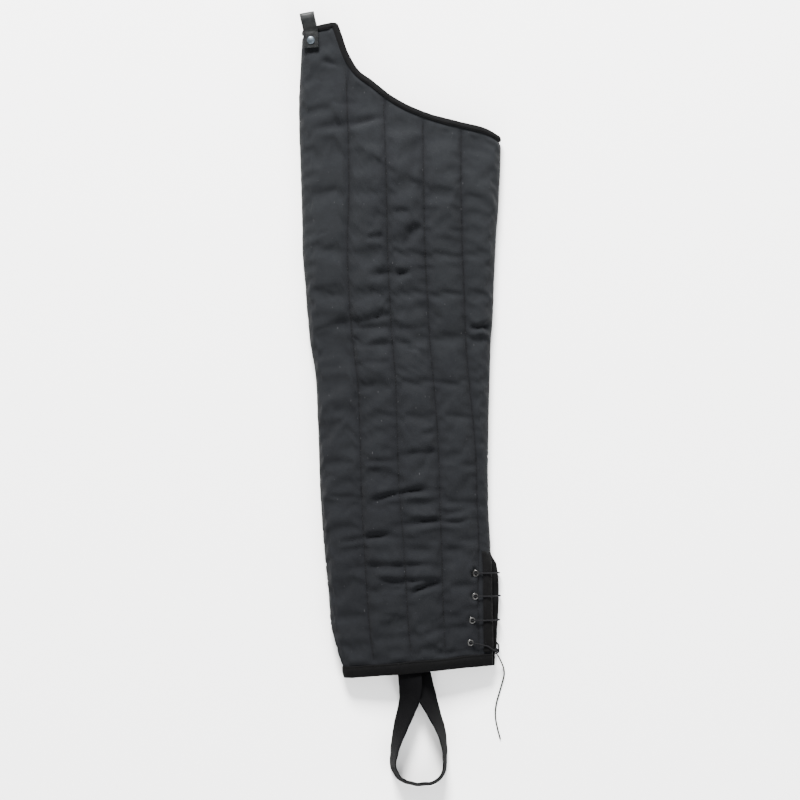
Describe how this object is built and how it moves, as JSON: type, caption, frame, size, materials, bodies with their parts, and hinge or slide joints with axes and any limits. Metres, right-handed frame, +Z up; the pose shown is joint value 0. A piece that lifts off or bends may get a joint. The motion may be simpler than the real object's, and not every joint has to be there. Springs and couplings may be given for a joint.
{
  "type": "padded gambeson legging",
  "caption": "Quilted padded legging with bound edges, laced ankle vent, webbing stirrup and riveted leather belt loop.",
  "frame": {"origin": "middle of the box of everything but the free lace end, on the surface that the legging lies on", "axes": "+Y from the ankle towards the thigh, +X towards the laced inner side, +Z up off the surface"},
  "size_m": [0.2882, 1.0734, 0.0519],
  "materials": {
    "quilted_cotton": "matt quilted cloth, charcoal",
    "binding_tape": "matt folded tape, near black",
    "webbing": "woven strap, black",
    "leather": "smooth, slightly worn, dark grey",
    "blued_steel": "blue-grey, satin",
    "nickel": "plated, lightly tarnished",
    "lace_cord": "round twisted cord, black"
  },
  "bodies": {
    "root": {"belt_loop": "leather", "eyelet_back_1": "nickel", "eyelet_back_2": "nickel", "eyelet_back_3": "nickel", "eyelet_back_4": "nickel", "eyelet_front_1": "nickel", "eyelet_front_2": "nickel", "eyelet_front_3": "nickel", "eyelet_front_4": "nickel", "hem_binding": "binding_tape", "lace": "lace_cord", "lace_end": "lace_cord", "lace_knot": "lace_cord", "lace_under": "lace_cord", "loop_rivet": "blued_steel", "quilted_leg": "quilted_cotton", "stirrup_strap": "webbing", "top_binding": "binding_tape", "vent_binding_back": "binding_tape", "vent_binding_front": "binding_tape"}
  },
  "joints": []
}
